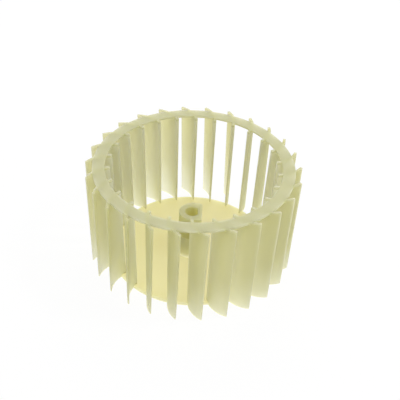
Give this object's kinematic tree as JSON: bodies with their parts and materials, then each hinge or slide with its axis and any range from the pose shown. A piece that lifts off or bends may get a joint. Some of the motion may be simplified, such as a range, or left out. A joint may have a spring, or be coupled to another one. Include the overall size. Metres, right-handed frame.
{
  "type": "dryer fan impeller",
  "caption": "Round plastic blower wheel: curved upright blades stand round a flat disc, tied by a ring at the open end, with a tall central hub and a flatted bore.",
  "frame": {"origin": "where the shaft axis meets the flat underside, level with the blades' lower ends", "axes": "+Z along the shaft axis from the closed disc towards the open ring, +X towards the hub's flat side"},
  "size_m": [0.15, 0.1494, 0.0774],
  "materials": {
    "natural_plastic": "satin"
  },
  "bodies": {
    "root": {"impeller": "natural_plastic"}
  },
  "joints": []
}
